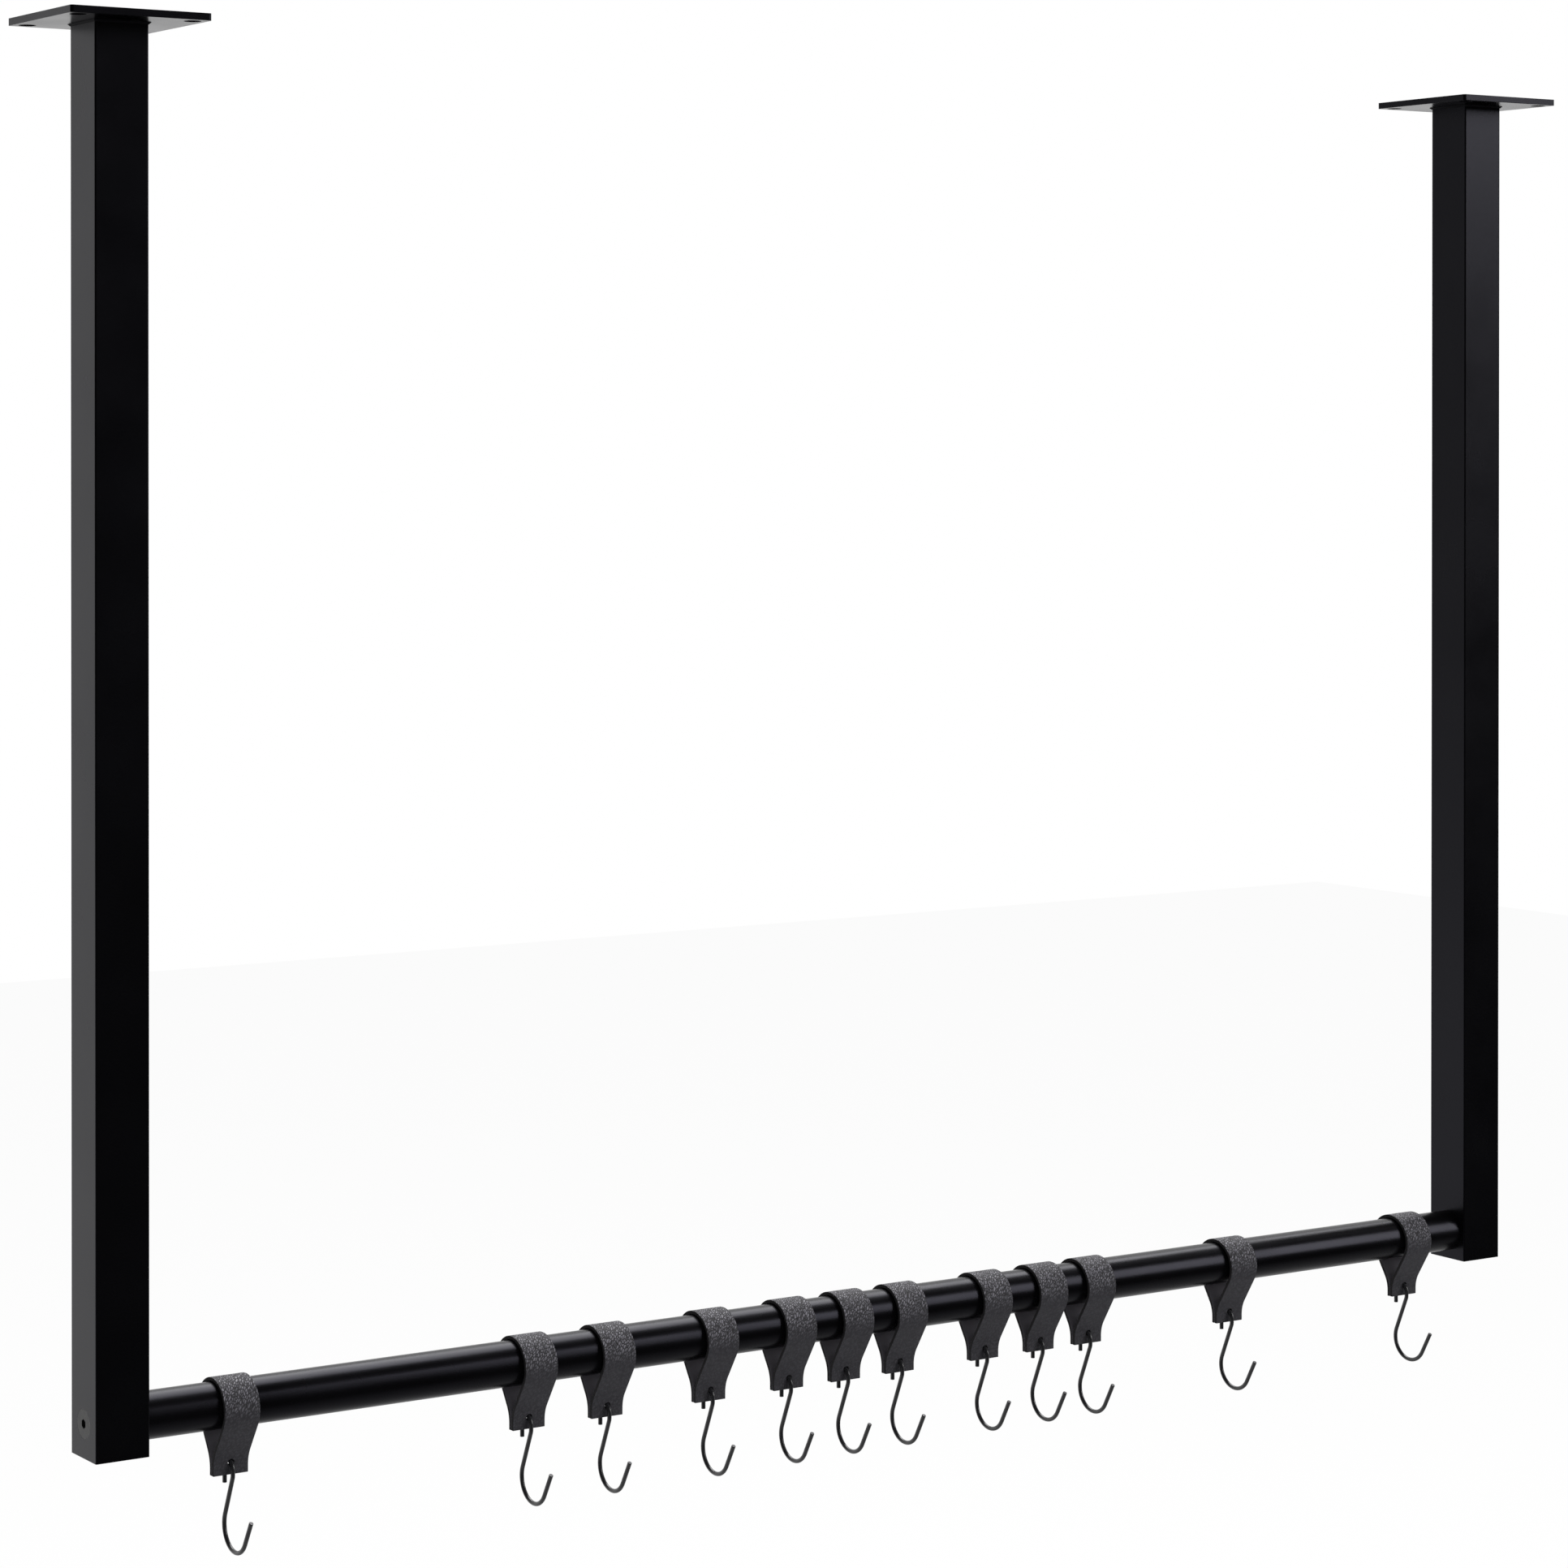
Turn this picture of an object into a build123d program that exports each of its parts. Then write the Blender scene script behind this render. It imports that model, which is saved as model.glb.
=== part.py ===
from build123d import *
import math
import os

# Hanging clothes rail: two square posts under ceiling plates carry a round rail, and leather
# straps folded over the rail each hold a wire S-hook.
# Sizes are in millimetres. The origin is the middle of the left plate's top face, which lies on
# the ceiling. X runs along the rail to the right post, Y away from the viewer, Z up.

# Posts and ceiling plates
POST_SPACING = 1260.0  # from the middle of one post to the middle of the other
DROP = 980.0  # from the ceiling to the posts' feet
POST_SIDE = 40.0
POST_WALL = 2.0
POST_CORNER_RADIUS = 1.0
PLATE_SIDE = 104.0
PLATE_THICKNESS = 5.0
PLATE_CORNER_RADIUS = 2.0
SCREW_HOLE_DIAMETER = 12.0
SCREW_HOLE_INSET = 10.0  # from the plate's edges to the middle of a hole
WELD_LEG = 1.5
CAP_WALL = 2.5
CAP_CLEARANCE = 0.1  # between the plug and the tube round it
CAP_TO_BOLT = 2.0  # from the plug's skirt up to the bolt's head

# Rail and what holds its ends
RAIL_DIAMETER = 33.0
RAIL_WALL = 2.0
RAIL_RISE = 23.5  # the rail's axis above the posts' feet
INSERT_LENGTH = 30.0
INSERT_CLEARANCE = 0.05  # between the insert and the tube round it
BOLT_DIAMETER = 10.0
BOLT_HEAD_DIAMETER = 20.0
BOLT_HEAD_RIM = 0.6  # the straight edge above the cone of the countersunk head
BOLT_GRIP = 22.0  # how far the bolt screws into the insert
BOLT_TIP_CHAMFER = 1.0
BOLT_CLEARANCE = 0.25  # round the shank, where it passes through the post
THREAD_CLEARANCE = 0.05
SOCKET_ACROSS_FLATS = 6.0
SOCKET_DEPTH = 3.5

# Leather straps
STRAP_WIDTH = 27.0
STRAP_THICKNESS = 2.5
STRAP_REST_GAP = 0.5  # between the rail's top and the leather over it
STRAP_EASE = 2.3  # how much larger the loop's inside radius is than the rail's
FLANK_LEAN = 32.0  # degrees from upright, where the leather runs in under the rail
LEAF_BEND_RADIUS = 25.5  # of the inner face, where the flanks turn down into the two leaves
LEAF_LENGTH = 4.7  # the straight ends below that bend
LEAF_GAP = 0.6  # between the two leaves that lie on each other
HOLE_MARGIN = 5.8  # leather left under the punched hole
# Bare rail to the left of each strap and to the right of the last one, in proportion
STRAP_GAPS = (56.5, 214, 40, 64, 44, 26, 24, 55, 28, 21, 120, 165, 38.5)

# S-hooks of round wire: a small loop through the strap, a leaning shank and a wide bowl
WIRE_DIAMETER = 3.2
FRONT_GAP = 1.5  # from the leather to the wire in front of it
REAR_GAP = 2.3  # from the leather to the wire behind it
SEAT_GAP = 0.75  # from the hole's lower edge up to the wire in it
CROWN_GAP = 0.75  # from the wire up to the hole's upper edge
STUB_DROP = 7.6  # how far below the strap the rear wire ends
SHANK_LEAN = 23.0  # degrees from upright, from level with the strap's lower edge down
SHANK_LENGTH = 29.0
BOWL_RADIUS = 16.9  # of the wire's middle line
TIP_LEAN = 29.0  # degrees that the tip leans out from upright
TIP_LENGTH = 19.5

# Straps and hooks are many, so their bends are drawn in short chords, the wire six-sided and the
# punched hole twelve-sided
BEND_CHORD = 22.5  # the most that leather or wire turns from one chord to the next, in degrees
WIRE_SIDES = 6
PUNCH_SIDES = 12

# The rail's place, and the parts of the posts and the rail that other pieces fit
RAIL_Z = RAIL_RISE - DROP
RAIL_LENGTH = POST_SPACING - POST_SIDE
POST_BORE = POST_SIDE - 2 * POST_WALL
RAIL_BORE = RAIL_DIAMETER - 2 * RAIL_WALL
CAP_HEIGHT = RAIL_RISE - BOLT_HEAD_DIAMETER / 2 - CAP_TO_BOLT

# The strap's inner face: a round loop, straight flanks, then bends that end where the leaves start
LEAN = math.radians(FLANK_LEAN)
LOOP_RADIUS = RAIL_DIAMETER / 2 + STRAP_EASE
LOOP_Z = RAIL_Z + RAIL_DIAMETER / 2 + STRAP_REST_GAP - LOOP_RADIUS
BEND_MIDDLE_Y = LEAF_GAP / 2 + LEAF_BEND_RADIUS
FLANK_RUN = (LOOP_RADIUS + LEAF_BEND_RADIUS) * math.cos(LEAN) - BEND_MIDDLE_Y
FLANK_FALL = (LOOP_RADIUS + LEAF_BEND_RADIUS) * math.sin(LEAN) + FLANK_RUN / math.tan(LEAN)
BEND_FOOT_Z = LOOP_Z - FLANK_FALL
STRAP_BOTTOM_Z = BEND_FOOT_Z - LEAF_LENGTH

# The hook's small loop goes round both leaves, and the hole is as high as the wire needs
HALF_STACK = LEAF_GAP / 2 + STRAP_THICKNESS
LOOP_INSIDE = HALF_STACK + (FRONT_GAP + REAR_GAP) / 2
HOOK_LOOP_Y = (REAR_GAP - FRONT_GAP) / 2
SEAT_DROP = math.sqrt(LOOP_INSIDE**2 - (HALF_STACK + HOOK_LOOP_Y) ** 2)
HOLE_DIAMETER = SEAT_GAP + LOOP_INSIDE - SEAT_DROP + WIRE_DIAMETER + CROWN_GAP
HOLE_Z = STRAP_BOTTOM_Z + HOLE_MARGIN + HOLE_DIAMETER / 2
HOOK_LOOP_Z = STRAP_BOTTOM_Z + HOLE_MARGIN + SEAT_GAP - SEAT_DROP


def square_bar(side, radius, height):
    """Upright square bar with rounded corners, standing on the posts' feet."""
    return Pos(0, 0, -DROP) * extrude(RectangleRounded(side, side, radius), height)


def ceiling_plate():
    """Square steel plate against the ceiling, with a screw hole near each corner."""
    hole_spacing = PLATE_SIDE - 2 * SCREW_HOLE_INSET
    outline = RectangleRounded(PLATE_SIDE, PLATE_SIDE, PLATE_CORNER_RADIUS)
    holes = GridLocations(hole_spacing, hole_spacing, 2, 2) * Circle(SCREW_HOLE_DIAMETER / 2)
    return extrude(outline - holes, -PLATE_THICKNESS)


def bolt_body(clearance):
    """Countersunk bolt along X from the post's outer face, its shank wider by the clearance."""
    head = BOLT_HEAD_DIAMETER / 2
    shank = BOLT_DIAMETER / 2 + clearance
    length = POST_SIDE + BOLT_GRIP
    profile = Polyline(
        (0, 0),
        (0, head),
        (BOLT_HEAD_RIM, head),
        (BOLT_HEAD_RIM + head - shank, shank),
        (length - BOLT_TIP_CHAMFER, shank),
        (length, shank - BOLT_TIP_CHAMFER),
        (length, 0),
        close=True,
    )
    turned = revolve(Plane.XZ * make_face(profile), Axis.X)
    return Pos(-POST_SIDE / 2, 0, RAIL_Z) * turned


def rail_bolt():
    """Bolt through the post into the rail's end, with a hexagon socket in its flush head."""
    head_face = Plane(origin=(-POST_SIDE / 2, 0, RAIL_Z), z_dir=(1, 0, 0))
    hexagon = RegularPolygon(SOCKET_ACROSS_FLATS / 2, 6, major_radius=False)
    return bolt_body(0) - extrude(head_face * hexagon, SOCKET_DEPTH)


def post():
    """Square tube from the plate to its foot, drilled and countersunk for the bolt."""
    height = DROP - PLATE_THICKNESS
    bore = Pos(0, 0, -DROP) * extrude(Rectangle(POST_BORE, POST_BORE), height)
    return square_bar(POST_SIDE, POST_CORNER_RADIUS, height) - bore - bolt_body(BOLT_CLEARANCE)


def plate_weld():
    """Fillet weld round the post, as wide on the plate as it is high on the post."""
    under_plate = Plane(origin=(0, 0, -PLATE_THICKNESS), z_dir=(0, 0, -1))
    side = POST_SIDE + 2 * WELD_LEG
    bead = extrude(under_plate * Rectangle(side, side), WELD_LEG, taper=45)
    return bead - square_bar(POST_SIDE, POST_CORNER_RADIUS, DROP)


def post_end_cap():
    """Plastic plug in the post's foot: a flush floor and a skirt that grips the tube."""
    side = POST_BORE - 2 * CAP_CLEARANCE
    hollow_side = side - 2 * CAP_WALL
    plug = extrude(Rectangle(side, side), CAP_HEIGHT)
    hollow = extrude(Rectangle(hollow_side, hollow_side), CAP_HEIGHT)
    return Pos(0, 0, -DROP) * (plug - Pos(0, 0, CAP_WALL) * hollow)


def rail_tube():
    """Round tube that butts against the inner faces of both posts."""
    left_end = Plane(origin=(POST_SIDE / 2, 0, RAIL_Z), z_dir=(1, 0, 0))
    ring = Circle(RAIL_DIAMETER / 2) - Circle(RAIL_BORE / 2)
    return extrude(left_end * ring, RAIL_LENGTH)


def rail_end_insert():
    """Turned plug in the rail's left end, tapped right through for the bolt."""
    left_end = Plane(origin=(POST_SIDE / 2, 0, RAIL_Z), z_dir=(1, 0, 0))
    plug = Circle(RAIL_BORE / 2 - INSERT_CLEARANCE)
    bore = Circle(BOLT_DIAMETER / 2 + THREAD_CLEARANCE)
    return extrude(left_end * (plug - bore), INSERT_LENGTH)


def chord_points(arc):
    """Points that split an arc into equal chords, its end included and its start left out."""
    steps = math.ceil(math.degrees(arc.length / arc.radius) / BEND_CHORD)
    return [arc @ (step / steps) for step in range(1, steps + 1)]


def fold_points(depth):
    """Front half of the fold, from its cut end to its top, this deep outwards from the inner face."""
    loop_radius = LOOP_RADIUS + depth
    leaf_y = -LEAF_GAP / 2 - depth
    flank_top = (-loop_radius * math.cos(LEAN), LOOP_Z - loop_radius * math.sin(LEAN))
    leaf = Line((leaf_y, STRAP_BOTTOM_Z), (leaf_y, BEND_FOOT_Z))
    bend = JernArc(leaf @ 1, (0, 1), LEAF_BEND_RADIUS - depth, FLANK_LEAN)
    flank = Line(bend @ 1, flank_top)
    loop = JernArc(flank @ 1, flank % 1, loop_radius, -90 - FLANK_LEAN)
    return [leaf @ 0, leaf @ 1, *chord_points(bend), flank @ 1, *chord_points(loop)]


def leather_strap():
    """Leather band folded over the rail, its two ends punched together for the hook."""
    front = Polyline(*reversed(fold_points(0)), *fold_points(STRAP_THICKNESS))
    section = make_face(front + mirror(front, Plane.YZ))
    band = extrude(Plane.YZ * section, STRAP_WIDTH / 2, both=True)
    hole_face = Plane(origin=(0, 0, HOLE_Z), z_dir=(0, 1, 0))
    punch = RegularPolygon(HOLE_DIAMETER / 2, PUNCH_SIDES, major_radius=False)
    return band - extrude(hole_face * punch, 2 * HALF_STACK, both=True)


def s_hook():
    """Wire hook: stub behind the strap, loop through the hole, neck, shank, bowl and tip."""
    loop_radius = LOOP_INSIDE + WIRE_DIAMETER / 2
    rear = HOOK_LOOP_Y + loop_radius
    front = HOOK_LOOP_Y - loop_radius
    loop = JernArc((rear, HOOK_LOOP_Z), (0, 1), loop_radius, 180)
    neck_start = (front, STRAP_BOTTOM_Z)
    neck_bend = JernArc(neck_start, (0, -1), loop_radius, SHANK_LEAN)
    shank = PolarLine(neck_bend @ 1, SHANK_LENGTH, direction=neck_bend % 1)
    bowl = JernArc(shank @ 1, shank % 1, BOWL_RADIUS, TIP_LEAN - SHANK_LEAN - 180)
    tip = PolarLine(bowl @ 1, TIP_LENGTH, direction=bowl % 1)
    points = [(rear, STRAP_BOTTOM_Z - STUB_DROP), loop @ 0, *chord_points(loop), neck_start]
    points += [*chord_points(neck_bend), shank @ 1, *chord_points(bowl), tip @ 1]
    wire = Plane.YZ * Polyline(*points)
    across = Plane(origin=wire @ 0, x_dir=(1, 0, 0), z_dir=wire % 0)
    turn = 90 - 180 / WIRE_SIDES
    section = RegularPolygon(WIRE_DIAMETER / 2, WIRE_SIDES, major_radius=False, rotation=turn)
    return sweep(across * section, path=wire, transition=Transition.RIGHT)


def strap_places():
    """Where the middle of each strap hangs, with the bare rail shared out as STRAP_GAPS says."""
    count = len(STRAP_GAPS) - 1
    share = (RAIL_LENGTH - count * STRAP_WIDTH) / sum(STRAP_GAPS)
    before = [sum(STRAP_GAPS[: n + 1]) * share + n * STRAP_WIDTH for n in range(count)]
    return [(POST_SIDE + STRAP_WIDTH) / 2 + length for length in before]


def rail_parts():
    """Every piece of the rail under its own name."""
    ends = {
        "ceiling_plate": ceiling_plate(),
        "post": post(),
        "plate_weld": plate_weld(),
        "post_end_cap": post_end_cap(),
        "rail_end_insert": rail_end_insert(),
        "rail_bolt": rail_bolt(),
    }
    parts = {"rail_tube": rail_tube()}
    for name, piece in ends.items():
        parts[f"left_{name}"] = piece
        parts[f"right_{name}"] = Pos(POST_SPACING, 0, 0) * mirror(piece, Plane.YZ)
    strap = leather_strap()
    hook = s_hook()
    for number, place in enumerate(strap_places(), start=1):
        parts[f"leather_strap_{number:02d}"] = Pos(place, 0, 0) * strap
        parts[f"s_hook_{number:02d}"] = Pos(place, 0, 0) * hook
    return parts


if __name__ == "__main__":
    os.makedirs("parts", exist_ok=True)
    for name, piece in rail_parts().items():
        export_step(piece, f"parts/{name}.step")
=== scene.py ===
# %% [markdown]
# # A hanging clothes rail, dressed for its portrait
#
# The object is a round black rail between two square posts that hang from ceiling plates. Twelve
# leather straps are folded over the rail, and a wire S-hook swings in each of them.
#
# The construction comes in as a fixed frame, in metres, with the left plate's top at the origin, X
# along the rail, Y away from the viewer and Z up. Steel pieces keep the shape they come with and
# only get a finish. Leather and wire are modelled anew, because there the eye looks for rounded
# edges.

# %% Load the frame
import math

import bpy
import numpy as np
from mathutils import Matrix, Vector


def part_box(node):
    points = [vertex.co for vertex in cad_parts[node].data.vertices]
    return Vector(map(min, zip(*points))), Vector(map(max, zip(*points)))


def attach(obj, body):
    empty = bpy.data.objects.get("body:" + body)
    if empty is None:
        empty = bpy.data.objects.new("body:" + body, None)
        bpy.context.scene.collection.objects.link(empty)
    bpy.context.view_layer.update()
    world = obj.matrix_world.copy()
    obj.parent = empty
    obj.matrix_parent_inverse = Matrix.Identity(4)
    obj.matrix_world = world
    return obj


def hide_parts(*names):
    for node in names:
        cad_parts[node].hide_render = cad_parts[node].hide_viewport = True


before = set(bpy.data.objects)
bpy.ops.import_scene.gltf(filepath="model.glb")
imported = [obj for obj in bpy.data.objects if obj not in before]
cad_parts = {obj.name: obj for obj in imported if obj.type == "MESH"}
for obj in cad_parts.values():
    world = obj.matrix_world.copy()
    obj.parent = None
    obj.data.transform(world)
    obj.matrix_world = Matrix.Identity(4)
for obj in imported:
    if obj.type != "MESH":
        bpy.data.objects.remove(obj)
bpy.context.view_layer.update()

MM = 0.001

# %% [markdown]
# ## The camera
#
# A level long lens stands to the left of the rail and sees it at a slant. Upright edges stay
# upright in the picture, so the camera hardly tilts: the lens is shifted instead, as architects'
# photographers do. The place and the focal length come from matching the plates' corners, the
# posts' edges and feet, and the rail to where the picture shows them.

# %% Place the camera
PICTURE = 1932  # pixels along each side of the picture
SENSOR = 36.0  # millimetres, the width of Blender's default sensor
FOCAL_PIXELS = 4891.2
LENS_AXIS_PIXEL = (740.0, 580.0)  # where the unshifted lens would look
CAMERA_PLACE = (-1.1494, -2.4681, -0.2933)
CAMERA_TURN = 32.02  # degrees to the right of straight ahead
CAMERA_TILT = -0.34  # degrees above level

camera_data = bpy.data.cameras.new("camera")
camera_data.lens = FOCAL_PIXELS / PICTURE * SENSOR
camera_data.shift_x = (PICTURE / 2 - LENS_AXIS_PIXEL[0]) / PICTURE
camera_data.shift_y = -(PICTURE / 2 - LENS_AXIS_PIXEL[1]) / PICTURE
camera_data.clip_end = 100.0
camera = bpy.data.objects.new("camera", camera_data)
camera.location = CAMERA_PLACE
camera.rotation_euler = (math.radians(90 + CAMERA_TILT), 0, math.radians(-CAMERA_TURN))
bpy.context.scene.collection.objects.link(camera)
bpy.context.scene.camera = camera
bpy.context.scene.view_settings.view_transform = "Standard"
print("lens", round(camera_data.lens, 1), "mm, shift", round(camera_data.shift_x, 3),
      round(camera_data.shift_y, 3))

# %% [markdown]
# ## Two small helpers for materials
#
# Colours are easiest to name as the hex values that a screen shows, but light adds up in linear
# numbers, so one function turns the first into the second. A second function adds any node: it
# sets the node's own settings and fills its inputs with values or with links from other nodes.

# %% Helpers for colours and nodes
MIX_A, MIX_B, MIX_RESULT = 6, 7, 2  # the colour sockets of a Mix node


def linear(hex_colour):
    """sRGB hex to linear RGBA: v / 12.92 up to 0.04045, ((v + 0.055) / 1.055) ^ 2.4 above it."""
    srgb = np.array([int(hex_colour[k:k + 2], 16) for k in (1, 3, 5)]) / 255
    rgb = np.where(srgb <= 0.04045, srgb / 12.92, ((srgb + 0.055) / 1.055) ** 2.4)
    return (*rgb, 1.0)


def add(material, kind, inputs=(), **settings):
    """One node in the tree of a material or the world, its settings made and its inputs filled."""
    tree = material.node_tree
    made = tree.nodes.new(kind)
    for name, value in settings.items():
        setattr(made, name, value)
    for socket, value in dict(inputs).items():
        if isinstance(value, bpy.types.NodeSocket):
            tree.links.new(value, made.inputs[socket])
        else:
            made.inputs[socket].default_value = value
    return made


def blank(name):
    """A material with nothing in its tree yet."""
    material = bpy.data.materials.new(name)
    material.use_nodes = True
    material.node_tree.nodes.clear()
    return material


def finish_with(material, shader):
    """Sends a shader to the material's surface."""
    add(material, "ShaderNodeOutputMaterial", {"Surface": shader.outputs[0]})
    return material


print("charcoal in linear light", [round(v, 4) for v in linear("#3a393c")])

# %% [markdown]
# ## The studio
#
# The rail hangs in a white studio: a pale floor far below it, a white surround, and two soft
# boxes. The surround is white to the camera and to reflections, and weaker as a lamp. Black goods
# are photographed with a dark room in front of them, or their fronts turn grey. So reflections
# find the surround and the floor white behind the rail and darker the further they look to the
# front. The floor keeps a share of plain matt paint, so that a shadow still shows on it.

# %% The white surround
AMBIENT = 0.5  # how strongly the surround lights matt surfaces
WHITE_GLOW = 1.0  # the strength at which a glowing surface shows as plain white
BRIGHT_SIDE = (0.5, 0.866, 0.0)  # the way to the brightest part, behind the rail and to its right
DARKEST, BRIGHTEST = 0.0, 0.6  # how far along that way the surround is black, and white

world = bpy.data.worlds.new("white_surround")
bpy.context.scene.world = world
world.use_nodes = True
world.node_tree.nodes.clear()


def looking_rays(tree_owner):
    """Two masks: 1 for rays from the camera, a mirror or glass, and 1 for a mirror or glass alone.

    Both are 0 for the rays with which matt surfaces gather light.
    """
    path = add(tree_owner, "ShaderNodeLightPath")
    mirrored = add(tree_owner, "ShaderNodeMath", {
        0: path.outputs["Is Glossy Ray"], 1: path.outputs["Is Transmission Ray"]},
        operation="MAXIMUM").outputs[0]
    seen = add(tree_owner, "ShaderNodeMath", {0: path.outputs["Is Camera Ray"], 1: mirrored},
               operation="MAXIMUM").outputs[0]
    return seen, mirrored


def dim_in_mirrors(tree_owner, shader, mirrored, brightness):
    """The shader, faded to black for mirrored rays where the brightness is below 1."""
    darkness = add(tree_owner, "ShaderNodeMath", {0: 1.0, 1: brightness}, operation="SUBTRACT")
    fade = add(tree_owner, "ShaderNodeMath", {0: mirrored, 1: darkness.outputs[0]},
               operation="MULTIPLY")
    return add(tree_owner, "ShaderNodeMixShader", {0: fade.outputs[0], 1: shader.outputs[0]})


seen, mirrored = looking_rays(world)
lamp = add(world, "ShaderNodeBackground", {"Color": linear("#ffffff"), "Strength": AMBIENT})
white = add(world, "ShaderNodeBackground", {"Color": linear("#ffffff"), "Strength": WHITE_GLOW})
surround = add(world, "ShaderNodeMixShader", {0: seen, 1: lamp.outputs[0], 2: white.outputs[0]})

way = add(world, "ShaderNodeTexCoord").outputs["Generated"]
along_way = add(world, "ShaderNodeVectorMath", {0: way, 1: BRIGHT_SIDE}, operation="DOT_PRODUCT")
brightness = add(world, "ShaderNodeMapRange", {"Value": along_way.outputs["Value"],
                                               "From Min": DARKEST, "From Max": BRIGHTEST})
studio = dim_in_mirrors(world, surround, mirrored, brightness.outputs[0])
add(world, "ShaderNodeOutputWorld", {"Surface": studio.outputs[0]})
print("the surround glows at", WHITE_GLOW, "and lights matt surfaces at", AMBIENT)

# %% [markdown]
# ## The floor
#
# A real studio floor is lit until it burns out to white. Here a plane mixes lit paint with a plain
# white glow that only the camera, mirrors and glass see, so it stays white without throwing light
# up on the rail. Its mirror image fades to black towards the front, as the surround's does.

# %% Lay the floor
ROOM_HEIGHT = 2.4  # metres from the floor to the ceiling that carries the plates
FLOOR_REACH = 12.0
FLOOR_GLOW = 0.93  # share of the floor's look that is plain white, the rest is lit paint
FLOOR_DARK_Y, FLOOR_BRIGHT_Y = -2.5, 3.0  # where mirrors find the floor black, and white

floor_paint = blank("matt_white_studio_floor")
paint = add(floor_paint, "ShaderNodeBsdfDiffuse", {"Color": linear("#f4f4f4")})
glow = add(floor_paint, "ShaderNodeEmission", {"Color": linear("#ffffff"),
                                               "Strength": WHITE_GLOW})
seen, mirrored = looking_rays(floor_paint)
share = add(floor_paint, "ShaderNodeMath", {0: seen, 1: FLOOR_GLOW}, operation="MULTIPLY")
bright_floor = add(floor_paint, "ShaderNodeMixShader", {
    0: share.outputs[0], 1: paint.outputs[0], 2: glow.outputs[0]})
floor_place = add(floor_paint, "ShaderNodeTexCoord").outputs["Object"]
floor_y = add(floor_paint, "ShaderNodeSeparateXYZ", {0: floor_place}).outputs["Y"]
brightness = add(floor_paint, "ShaderNodeMapRange", {"Value": floor_y, "From Min": FLOOR_DARK_Y,
                                                     "From Max": FLOOR_BRIGHT_Y})
dimmed_floor = dim_in_mirrors(floor_paint, bright_floor, mirrored, brightness.outputs[0])
finish_with(floor_paint, dimmed_floor)

floor_mesh = bpy.data.meshes.new("floor")
across, along = np.meshgrid([-FLOOR_REACH, FLOOR_REACH], [-FLOOR_REACH, FLOOR_REACH])
floor_points = np.stack([across, along, np.full((2, 2), -ROOM_HEIGHT)], axis=-1).reshape(-1, 3)
floor_mesh.from_pydata(floor_points.tolist(), [], [(0, 1, 3, 2)])
floor_mesh.materials.append(floor_paint)
floor = bpy.data.objects.new("floor", floor_mesh)
bpy.context.scene.collection.objects.link(floor)
print("floor", ROOM_HEIGHT, "m below the ceiling")

# %% [markdown]
# ## The soft boxes
#
# On black goods a lamp shows mostly as its own reflection, so each box is placed for the highlight
# that it draws. One hangs behind and above, for the bright band along the rail's top. The other
# stands far off to the front right, for the soft band along the rail's middle and for the right
# post's front.

# %% Hang the soft boxes
# Each is a name, where it stands, what it looks at, its width and height in metres, and how bright
# its surface is, with 1 as white paper.
SOFT_BOXES = (
    ("overhead_rear_box", (2.6, 2.4, 4.2), (0.6, 0.0, -0.95), (4.8, 4.4), 4.6),
    ("front_right_box", (11.1, -9.6, 4.6), (1.1, 0.0, -0.9), (6.9, 7.6), 4.8),
)


def soft_box(name, place, target, size, brightness):
    """A rectangular lamp facing its target, its power brightness times pi times its area."""
    data = bpy.data.lights.new(name, "AREA")
    data.shape = "RECTANGLE"
    data.size, data.size_y = size
    data.energy = brightness * math.pi * size[0] * size[1]
    box = bpy.data.objects.new(name, data)
    box.location = place
    away = box.location - Vector(target)
    box.rotation_euler = away.to_track_quat("Z", "Y").to_euler()
    box.visible_camera = False
    bpy.context.scene.collection.objects.link(box)
    return data.energy


for entry in SOFT_BOXES:
    print(entry[0], round(soft_box(*entry), 1), "W")

# %% [markdown]
# ## Powder-coated steel
#
# Posts, plates, welds and rail are sprayed with black polyester powder and baked. The melted
# powder levels almost flat and keeps a faint orange peel, a swell one to two millimetres across.
# Matting agents in it scatter most of the mirror part, so it reflects less than a clear gloss does
# when seen square on, and turns grey only at a slant. A swell in the bump and a slow drift in the
# roughness give both. The edges of the plates are drawn sharp, and the coat rounds them a little.

# %% Satin black powder coat
PEEL_SIZE = 1.6 * MM
PEEL_DEPTH = 0.012 * MM
CLOUD_SIZE = 60 * MM  # the slow drift of the coat's roughness
CLOUD_LOW, CLOUD_HIGH = 0.3, 0.7  # the noise values between which the roughness drifts
COAT_EDGE_RADIUS = 0.6 * MM
COAT_EDGE_SAMPLES = 4
COAT_IOR = 1.28  # polyester has 1.5, and the matting agents take the rest
CORNER_IOR = 1.18  # in the welds' corners the powder lies thin and dry, and reflects less
PAINTED_COOL_LIGHT = "#e8e6ff"  # painted cool light tinting the coat's reflections


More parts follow.
